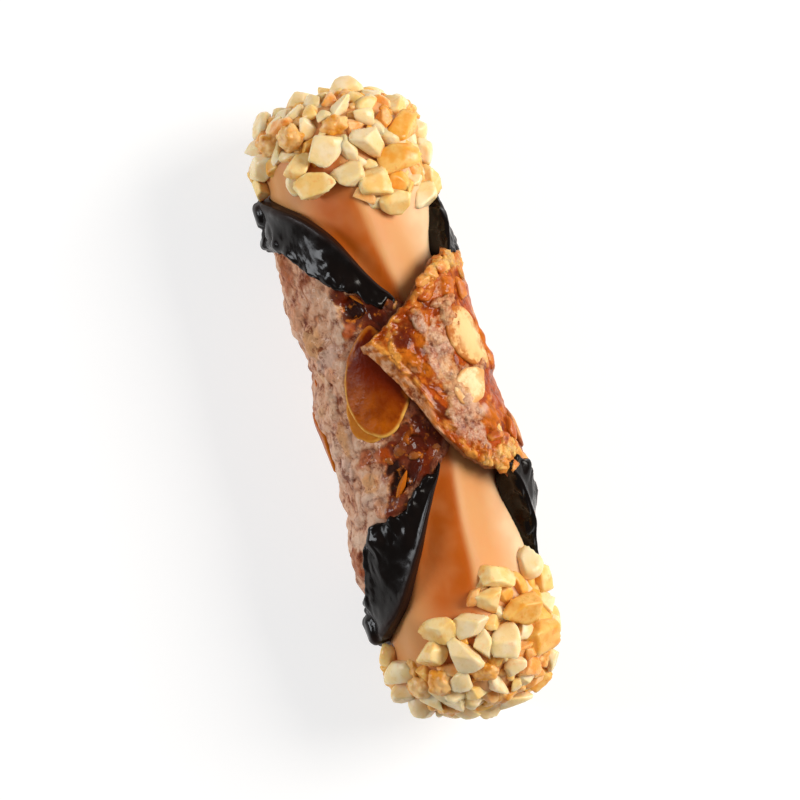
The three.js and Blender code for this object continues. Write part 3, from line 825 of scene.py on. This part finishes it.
SHOWN_HALF = 75  # a nut whose direction is nearer the top than this shows from above
SMALL_LENGTHS = (2.0, 3.0)
SHOWN_LENGTHS = (3.8, 5.4)
HIDDEN_LENGTHS = (4.2, 6.8)
CREAM_TIP = 55.3  # as far along as a nut can stand on the cream
RIM_GAP = 2.4  # from the sheet's rim to the nearest strewn nut's middle
LINE_GAP = 1.5  # and past the line where the nuts that show begin
NUT_ROOM = 0.28  # least distance between two nuts, as a share of both their lengths
HIDDEN_ROOM = 0.36  # the same, for the large ones that don't show
SHOWN_SUNK = 0.8  # how much deeper strewn nuts stand among the ones that show
NUT_STAND = 0.3  # height of a nut's middle over the cream, as a share of its thickness
NUT_TILT = 0.3  # radians
FINE_NUT = 3.3  # nuts longer than this are made of more triangles
FINE_CRUMBLY = 2.3  # and crumbly ones longer than this


def sphere_points(subdivisions):
    """Directions and triangles of a sphere of even triangles."""
    ball = bmesh.new()
    bmesh.ops.create_icosphere(ball, subdivisions=subdivisions, radius=1)
    directions = np.array([v.co[:] for v in ball.verts])
    faces = np.array([[v.index for v in f.verts] for f in ball.faces])
    ball.free()
    return directions / np.linalg.norm(directions, axis=1)[:, None], faces


FINE_BALL = sphere_points(4)
COARSE_BALL = sphere_points(3)


def chopped_nut(ball, dice, size, cuts):
    """Points of a chopped nut: part of a smooth kernel with flat cuts across it, filling a size."""
    half = np.array(size) / 2
    radius = [1 / np.sqrt(((ball / (half * 1.3)) ** 2).sum(1))]
    for _ in range(cuts):
        normal = dice.normal(size=3)
        normal /= np.linalg.norm(normal)
        reach = np.linalg.norm(normal * half) * dice.uniform(0.5, 0.85)
        radius.append(cut_reach(ball @ normal, reach, 0.05))
    body = ball * soft_least(radius, 110)[:, None]
    low, high = body.min(0), body.max(0)
    body = (body - (low + high) / 2) / (high - low) * size
    return body * (1 + 0.03 * ripple(body + dice.uniform(-50, 50, 3), 1.3))[:, None]


def crumbly_nut(ball, dice, size):
    """Points of a crumbly cluster of toasted bits."""
    half = np.array(size) / 2
    shift = dice.uniform(-50, 50, 3)
    body = ball * (1 / np.sqrt(((ball / half) ** 2).sum(1)))[:, None]
    near = cells(body + shift, 1.5)
    rough = ripple(body + shift, 0.8, octaves=2)
    return body * (1.12 - 0.26 * smooth(near, 0.1, 0.8) + 0.08 * rough)[:, None]


def round_radius(along):
    """Radius of the cream without its facets."""
    return float(dome_radius(np.array(along))) * CREAM_RADIUS


def on_cream(direction, along):
    """Point of the cream's surface in a direction from the axis, and the way out from it there."""
    step = 0.05
    radius, later = round_radius(along), round_radius(along + math.copysign(step, along))
    point = tube_point(np.array(NOTCH - direction), np.array(along), radius)
    lean = math.atan2(radius - later, step)
    way = radial(direction) * math.cos(lean) + np.array([math.copysign(math.sin(lean), along), 0, 0])
    return point, way


def shown_on_cream(across, along):
    """Point of the cream's surface under a place seen from above, and the way out, turned towards the top."""
    sine = max(-0.995, min(0.995, across / round_radius(along)))
    direction = math.degrees(math.asin(sine))
    point, way = on_cream(direction, along)
    way = 0.45 * way + np.array([0, 0, 0.55])
    point[1] = AXIS_Y - across
    return point, way / np.linalg.norm(way)


def turned_frame(way, turn):
    """Axes for a thing on a surface: its long side, its wide side, and out of the surface."""
    forward = np.array([math.cos(math.radians(turn)), -math.sin(math.radians(turn)), 0])
    long_side = forward - way * (forward @ way)
    if np.linalg.norm(long_side) < 0.2:
        long_side = np.cross(way, [0, 0, 1.0])
    long_side /= np.linalg.norm(long_side)
    return np.stack([long_side, np.cross(way, long_side), way])


NUT_LINE = [(-17, 43), (-9, 45), (-8.5, 40), (-2, 39), (1, 37), (4, 36), (4.5, 32.8), (13, 32.5), (17, 38)]


def nut_line(across):
    """How far along the nuts begin, over the part of the cream that shows from above."""
    return float(np.interp(across, *zip(*NUT_LINE)))


def shown_nuts():
    """The nuts that show from above, at both ends, as nut_places gives them."""
    for side in (1, -1):
        for across, along, length, width, turn, kind in NUTS:
            point, way = shown_on_cream(across, side * min(along, CREAM_TIP))
            point[0] = side * (along - 0.4)
            yield side, point, way, side * turn, length, width, kind


def strewn_place(dice):
    """Direction and distance along of a seeded place on the cream's side or on its rounded end."""
    direction, along = dice.uniform(-180, 180), dice.uniform(*STREWN_ALONG)
    if dice.uniform() < END_CAP:
        inward = math.sqrt(dice.uniform())
        along = DOME_START + DOME_LENGTH * (1 - inward ** DOME_POWER) ** (1 / DOME_POWER)
    return direction, along


def nut_places():
    """Where every nut is: side of its end, point, way out, turn, length, width and kind."""
    dice = np.random.default_rng(12)
    places = list(shown_nuts())
    for end, attempt in [(end, attempt) for end in (head, foot) for attempt in range(STREWN_TRIES)]:
        direction, along = strewn_place(dice)
        rim = abs(float(end.rim(np.mod(NOTCH - direction, 360))))
        across = round_radius(along) * math.sin(math.radians(direction))
        shown = abs(direction) < SHOWN_HALF
        if along < rim + RIM_GAP or shown and along < nut_line(across) + LINE_GAP:
            continue
        small = attempt > LARGE_TRIES
        if small and shown and dice.uniform() < 0.5:
            continue
        length = dice.uniform(*(SMALL_LENGTHS if small else SHOWN_LENGTHS if shown else HIDDEN_LENGTHS))
        width = length * dice.uniform(0.65, 0.95)
        point, way = on_cream(direction, end.side * along)
        room = NUT_ROOM if shown or small else HIDDEN_ROOM
        if min(np.linalg.norm(point - p[1]) - room * (length + p[4]) for p in places) < 0:
            continue
        kind = STREWN_KINDS[dice.integers(len(STREWN_KINDS))]
        if shown:
            point = point - SHOWN_SUNK * way
            kind = SHOWN_KINDS[dice.integers(len(SHOWN_KINDS))]
        places.append((end.side, point, way, dice.uniform(0, 180), length, width, kind))
    return places


def laid_nut(body, thick, point, axes, tone, faces):
    """A nut put in its place: points, their height in the nut from 0 to 1, its own tone and its faces."""
    return point + body @ axes, body[:, 2] / thick + 0.5, np.full(len(body), tone), faces


def add_nuts(name, kind, nuts, replaced=()):
    """One piece of all the nuts of a kind."""
    points, deep, tone, faces = zip(*nuts)
    firsts = np.cumsum([0] + [len(p) for p in points[:-1]])
    faces = np.concatenate([f + first for f, first in zip(faces, firsts)]).tolist()
    deep, tone = np.concatenate(deep), np.concatenate(tone)
    add_piece(name, np.concatenate(points), faces, nut_material(kind), "nuts", replaced, deep=deep, tone=tone)


def build_nuts():
    dice = np.random.default_rng(5)
    made = {}
    for side, point, way, turn, length, width, kind in nut_places():
        thick = width * dice.uniform(0.7, 0.95)
        size = (length, width, thick)
        fine = length > (FINE_CRUMBLY if kind == "crumbly" else FINE_NUT)
        ball, faces = FINE_BALL if fine else COARSE_BALL
        if kind == "crumbly":
            body = crumbly_nut(ball, dice, size)
        else:
            body = chopped_nut(ball, dice, size, dice.integers(6, 10))
        tilt = [Matrix.Rotation(dice.uniform(-NUT_TILT, NUT_TILT), 3, axis) for axis in "XY"]
        body = body @ np.array(tilt[0] @ tilt[1]).T
        middle = point + way * (NUT_STAND * thick)
        nut = laid_nut(body, thick, middle, turned_frame(way, turn), dice.uniform(), faces)
        nut[0][:, 2] = np.maximum(nut[0][:, 2], FLOOR + 0.02)
        made.setdefault((side, kind), []).append(nut)
    for (side, kind), nuts in made.items():
        place = "head" if side > 0 else "foot"
        add_nuts(f"nuts_{kind}_{place}", kind, nuts, [f"nut_crust_{place}"])


NUT_COLOURS = {
    # middle, pale, deep (painted shade on a nut's lower part, and its spots)
    "ivory": ("#edd094", "#f2deb8", "#ea9a3c"),
    "yellow": ("#f0c270", "#f4daa0", "#ea8c28"),
    "gold": ("#e8a038", "#f0c470", "#dc7a14"),
    "toasted": ("#ec9c40", "#f4c084", "#d0701c"),
    "crumbly": ("#dc9430", "#f2c684", "#b45a10"),
    "crumb": ("#c86c1c", "#eeb05c", "#6c2404"),
    "burnt": ("#b45208", "#da8830", "#5a1c02"),
    "dark": ("#6c2a06", "#a05a1c", "#2c0e02"),
}


@cache
def nut_material(kind):
    middle, pale, deep = NUT_COLOURS[kind]
    s = Surface(
        f"nuts_{kind}", Specular_IOR_Level=0.4,
        Subsurface_Weight=0.45, Subsurface_Scale=0.0015, Subsurface_Radius=(1.0, 0.7, 0.4),
    )
    base = s.blend(s.ramp(s.noise(2.6), 0.35, 0.65), rgba(middle), rgba(pale))
    base = s.blend(s.times(s.attribute("tone"), 0.35), base, rgba(middle))
    # painted shade: the lower part of a nut, down among the cream and the other nuts, takes the deep colour
    sunk = s.ramp(s.attribute("deep"), 0.1, 0.6, 1.0, 0.0)
    base = s.blend(s.times(sunk, 0.8), base, rgba(deep))
    spots = s.ramp(s.noise(1.7, detail=3.0), 0.6, 0.74, 0.0, 0.55 if kind != "ivory" else 0.25)
    base = s.blend(spots, base, rgba(deep))
    s.feed("Base Color", base)
    s.feed("Roughness", s.ramp(s.noise(1.2), 0.3, 0.7, 0.25, 0.42))
    s.bump(s.noise(0.5), 0.04 if kind in ("ivory", "yellow", "gold") else 0.14)
    return s.material


# ---------------- almond slices

# Further slices and slivers of almond: on the flap or not, distance across and along, length, width and turn
# as for the patches, height over the sheet, kind
EXTRA_SLICES = [
    (True, 12.0, -0.5, 8.6, 6.4, 62, 0.35, "buried"),
    (False, -6.4, 0.3, 13.2, 9.6, 24, -0.25, "rimmed"),
    (False, -4.0, 20.2, 5.5, 1.2, 143, -0.55, "sliver"),
    (False, -4.7, -14.5, 6.0, 1.3, 35, -0.5, "sliver"),
]
EXTRA_SEED = 19  # the extra slices' seeds come after this
SLICE_KINDS = ["glazed", "pale", "sliver", "toasted"] + ["pale", "toasted"] * 3
SLICE_LOOKS = {
    # centre, body, rim, roughness; the centre colour shows on a slice's side with painted shade, the body
    # colour on its painted lit side and by its outline
    "glazed": ("#6c1c02", "#b45806", "#ecb658", 0.22),
    "rimmed": ("#a8560c", "#c07014", "#e0a044", 0.3),
    "pale": ("#ecc48a", "#e2a860", "#b05e18", 0.3),
    "buried": ("#f6d8a8", "#f0c890", "#dc9c5c", 0.35),
    "toasted": ("#cc8a44", "#c88038", "#8c400e", 0.35),
    "sliver": ("#a04a12", "#c0660e", "#c87420", 0.25),
}


def slice_body(roll, along, length, width, turn, seed, lift):
    """Rings of an almond slice bent over the wafer, and how far in from its outline each point is."""
    around, edge_rings, top_rings = 96, 6, 13
    angle = np.linspace(0, 2 * math.pi, around, endpoint=False)[None, :]
    taper = 1 - 0.5 * np.maximum(0, np.cos(angle)) ** 1.5
    circle = np.stack([np.cos(angle), np.sin(angle), 0 * angle + seed], -1)
    outline = 1 + 0.05 * ripple(circle, 0.7, seed=seed, octaves=2)
    # the underside, the rounded edge, then the top towards its middle
    bend = np.radians(np.linspace(-70, 90, edge_rings))[:, None]
    top = np.linspace(0, 1, top_rings + 1)[1:, None]
    edge_round = min(0.45, 0.25 * width)
    inset = np.concatenate([[[2.0]], edge_round * (1 - np.cos(bend)), edge_round + 0 * top])
    level = np.concatenate([[[-0.7]], -0.1 + edge_round * np.sin(bend), 0.35 + 0.12 * smooth(top, 0, 0.8)])
    share = np.concatenate([np.ones((edge_rings + 1, 1)), np.maximum(1 - top, 0.02)])
    a = np.maximum(length / 2 * outline - inset, 0.15) * share * np.cos(angle)
    b = np.maximum(width / 2 * outline - inset, 0.15) * share * np.sin(angle) * taper
    forward, out = rotated(a, b, -turn)
    here = roll - np.degrees(out / (float(sheet_radius(roll)) + WAFER))
    base = sheet_point(here, along + forward, WAFER)
    wave = 0.14 * ripple(base, 3.5, seed=seed + 60)
    rings = sheet_point(here, along + forward, WAFER + level + wave + lift)
    inward = (1 - share) * min(length, width) / 2 + np.clip(inset, 0, edge_round) + 0 * angle
    inward[0] = 0
    return rings, inward


def build_slices():
    for i, (place, kind) in enumerate(zip(SLICES, SLICE_KINDS), 1):
        add_slice(f"slice_{i}", kind, [f"almond_slice_{i}"], place, i)
    for i, (flap, across, *place, lift, kind) in enumerate(EXTRA_SLICES, 1):
        add_slice(f"sliver_{i}", kind, [], (roll_at(across, flap), *place), EXTRA_SEED + i, lift)


def add_slice(name, kind, replaced, place, seed, lift=0.0):
    rings, inward = slice_body(*place, seed, lift)
    points, faces = closed_rings(rings)
    inward = np.append(inward.ravel(), [0.0, min(place[2:4]) / 2])
    # painted light and shade: each slice is lighter towards the foot end and the left, and darker towards the
    # head end and the right, where the flap's shadow falls on the large one
    ahead, beside, _ = ((points - points.mean(0)) / np.ptp(points, axis=0)).T
    glow = smooth(0.45 * beside - 0.7 * ahead, -0.1, 0.35)
    add_piece(name, points, faces, slice_material(kind), "almond", replaced, inward=inward, glow=glow)


@cache
def slice_material(kind):
    centre, body, rim, roughness = SLICE_LOOKS[kind]
    s = Surface(
        f"slice_{kind}", Specular_IOR_Level=0.1,
        Subsurface_Weight=0.1, Subsurface_Scale=0.001, Subsurface_Radius=(1.0, 0.45, 0.15),
    )
    inward = s.attribute("inward")
    glow = s.attribute("glow")
    ragged = s.plus(inward, s.ramp(s.noise(2.5, detail=3.0), 0.3, 0.7, -0.7, 0.7))
    blotchy = s.ramp(s.noise(3.6, detail=4.0), 0.4, 0.62, 0.45, 1.0)
    # painted light: the body colour where the slice is painted lit or near its outline, the centre colour in
    # its painted shade
    lit = s.math("MAXIMUM", s.times(glow, blotchy), s.ramp(ragged, 0.3, 1.6, 0.8, 0.0))
    base = s.blend(lit, rgba(centre), rgba(body))
    if kind in ("pale", "toasted", "buried"):
        stained = s.ramp(s.noise(1.8, detail=5.0, roughness=0.65), 0.42, 0.6)
        base = s.blend(s.times(s.ramp(ragged, 0.5, 3.4, 0.9, 0.0), stained), base, rgba(rim))
        base = s.blend(s.ramp(ragged, 0.2, 0.9, 0.8, 0.0), base, rgba(rim))
    else:
        uneven = s.times(s.ramp(s.noise(3.0), 0.35, 0.6, 0.15, 1.0), s.ramp(glow, 0.0, 0.5, 0.25, 1.0))
        base = s.blend(s.times(s.ramp(inward, 0.2, 0.75, 0.9, 0.0), uneven), base, rgba(rim))
    s.feed("Base Color", base)
    s.feed("Roughness", s.ramp(s.noise(0.9), 0.35, 0.7, roughness, roughness + 0.2))
    s.bump(s.noise(0.8, detail=3.0), 0.10)
    return s.material


# ---------------- the toasted bits on the wafer

# Where they are: on the flap or not, then as for NUTS
EDGE_BITS = [
    (True, 8.6, 19.4, 3.2, 2.4, 50, "crumb"), (True, 10.6, 20.4, 3.4, 2.8, 60, "crumb"),
    (True, 12.6, 21.2, 3.8, 3.2, 70, "crumb"), (True, 14.6, 21.9, 3.4, 2.4, 20, "crumb"),
    (True, 15.8, 20.4, 5.4, 2.6, 5, "burnt"), (True, 15.4, 16.8, 4.8, 2.6, 0, "burnt"),
    (True, 12.3, 17, 3.8, 3.6, 100, "burnt"), (True, 8.3, 17.2, 3.4, 3, 60, "burnt"),
    (True, 16.2, 8.6, 4.6, 2.2, 0, "burnt"), (True, 17, 3.2, 4.2, 2.2, 0, "burnt"),
    (True, 13.8, -9.8, 3.8, 3.8, 30, "burnt"), (True, 14.4, -9.2, 2.6, 2.2, 30, "yellow"),
    (True, 16.9, -9.6, 5.2, 2.4, 5, "burnt"), (True, 11.7, -13.6, 3.2, 2.6, 90, "crumb"),
    (True, 13.9, -14.2, 3.2, 3.2, 20, "crumb"), (True, 16.6, -14, 5.2, 2.6, 0, "crumb"),
    (True, 15.4, -16.4, 3, 2.6, 90, "crumb"), (True, 17.6, -16, 4, 2.6, 0, "crumb"),
    (False, 2.7, 16.6, 1.8, 1.4, 30, "crumb"), (True, 17.6, -25.2, 3, 1.8, 0, "burnt"),
    (False, -15.2, 6.4, 3, 1.6, 0, "burnt"), (False, 1.2, 17.8, 2.2, 1.8, 30, "dark"),
    (False, -9, -17, 2.6, 2, 60, "dark"), (False, -3, -8, 3.4, 2.4, 30, "dark"),
    (False, 0.4, -11.6, 2.4, 1.6, 30, "dark"), (False, 3.2, -9.4, 2.2, 1.6, 60, "dark"),
    (False, -0.6, -10, 2.6, 1.8, 120, "dark"), (False, -6.4, -9.4, 3.2, 2, 100, "dark"),
    (False, -6.9, 20.6, 3, 1.6, 15, "burnt"),
]
CRUMB_BANDS = [(head, 310, 346), (foot, 312, 340)]  # along each end's edge, from one roll angle to another
CRUMBS = 60  # in each band
FLAP_HALF = 17.9  # the flap's bits are no farther across than this


def flap_crumbs(dice):
    """Roll angle, distance along, length and kind of seeded crumbs along the flap's ragged edges."""
    for end, first, last in CRUMB_BANDS:
        for _ in range(CRUMBS):
            roll = dice.uniform(first, last)
            covered = float(end.width(roll)) * (roll < end.last)
            along = float(end.rim(roll)) - end.side * (1 + covered + abs(dice.normal(0, 1.1)))
            yield roll, along, dice.uniform(1.2, 3.4), ("crumb", "crumb", "burnt")[dice.integers(3)]


def build_edge_bits():
    dice = np.random.default_rng(23)
    made = {}

    def place(roll, along, size, turn, kind, sunk):
        point = sheet_point(np.array(roll), np.array(along), WAFER - sunk)
        ball, faces = COARSE_BALL
        rough = 1 + 0.08 * ripple(ball * size + dice.uniform(-50, 50, 3), 0.9)
        body = chopped_nut(ball, dice, size, 6) * rough[:, None]
        axes = turned_frame(radial(NOTCH - roll), turn)
        bit = laid_nut(body, size[2], point, axes, dice.uniform(), faces)
        made.setdefault(kind, []).append(bit)

    for flap, across, along, length, width, turn, kind in EDGE_BITS:
        inside = min(FLAP_HALF, across) if flap else across
        place(roll_at(inside, flap), along, (length, width, width * 0.7), turn, kind, 0.15 if flap else 0.5)
    for roll, along, length, kind in flap_crumbs(dice):
        place(roll, along, (length, length * 0.75, length * 0.7), dice.uniform(0, 180), kind, 0.35)
    for kind, bits in made.items():
        add_nuts(f"edge_bits_{kind}", kind, bits)


# ---------------- camera, floor and lights

VIEW_RIGHT = Vector((-0.2645, -0.9644, 0))
VIEW_UP = Vector((0.9644, -0.2645, 0))
VIEW_SPAN = 144 * MM  # width of what the camera sees, at the tube's axis
VIEW_OFFSET = 0.85 * MM  # how far the object stands to the right of the view's middle
LENS = 200
SENSOR = 36
FLOOR_HALF = 3.0


def add_camera():
    data = bpy.data.cameras.new("camera")
    data.lens = LENS
    data.sensor_width = SENSOR
    camera = add_object("camera", data)
    middle = Vector((0, AXIS_Y * MM, AXIS_HEIGHT * MM)) - VIEW_RIGHT * VIEW_OFFSET
    back = VIEW_RIGHT.cross(VIEW_UP)
    turn = Matrix((VIEW_RIGHT, VIEW_UP, back)).transposed()
    camera.matrix_world = Matrix.Translation(middle + back * VIEW_SPAN * LENS / SENSOR) @ turn.to_4x4()
    bpy.context.scene.camera = camera


def add_light(name, place, size, power, tint):
    """A soft square light. Its place is to the view's right, up the view, and above the floor, in metres."""
    data = bpy.data.lights.new(name, "AREA")
    data.size = size
    data.energy = power
    data.color = tint
    light = add_object(name, data)
    at = VIEW_RIGHT * place[0] + VIEW_UP * place[1] + Vector((0, 0, place[2]))
    aim = Vector((0, 0, AXIS_HEIGHT * MM))
    light.matrix_world = Matrix.Translation(at) @ (at - aim).to_track_quat("Z", "Y").to_matrix().to_4x4()


def add_studio():
    mesh = bpy.data.meshes.new("floor")
    corners = [(x * FLOOR_HALF, y * FLOOR_HALF, 0) for x, y in ((-1, -1), (1, -1), (1, 1), (-1, 1))]
    mesh.from_pydata(corners, [], [(0, 1, 2, 3)])
    surface = Surface(
        "floor", Roughness=0.9, Specular_IOR_Level=0.1, Base_Color=(0.42, 0.42, 0.42, 1),
        Emission_Color=(1, 1, 1, 1), Emission_Strength=0.65,
    )
    mesh.materials.append(surface.material)
    floor = add_object("floor", mesh)
    floor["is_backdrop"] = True
    add_light("key", place=(0.50, 0.18, 0.42), size=0.35, power=5.2, tint=(1.0, 0.95, 0.88))
    add_light("fill", place=(-0.55, 0.02, 0.30), size=0.22, power=1.9, tint=(0.93, 0.96, 1.0))
    world = bpy.data.worlds.new("world")
    world.use_nodes = True
    background = world.node_tree.nodes["Background"]
    background.inputs["Color"].default_value = (1, 1, 1, 1)
    background.inputs["Strength"].default_value = 0.2
    bpy.context.scene.world = world
    bpy.context.scene.view_settings.view_transform = "Standard"


add_camera()
add_studio()
build_wafer()
build_cream()
build_chocolate(head, "chocolate_dip_head", "chocolate_head")
build_chocolate(foot, "chocolate_dip_foot", "chocolate_foot")
build_nuts()
build_slices()
build_edge_bits()

boxes = {"cad": cad_box, "visual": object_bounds()}
{key: [list(corner) for corner in box] for key, box in boxes.items()}
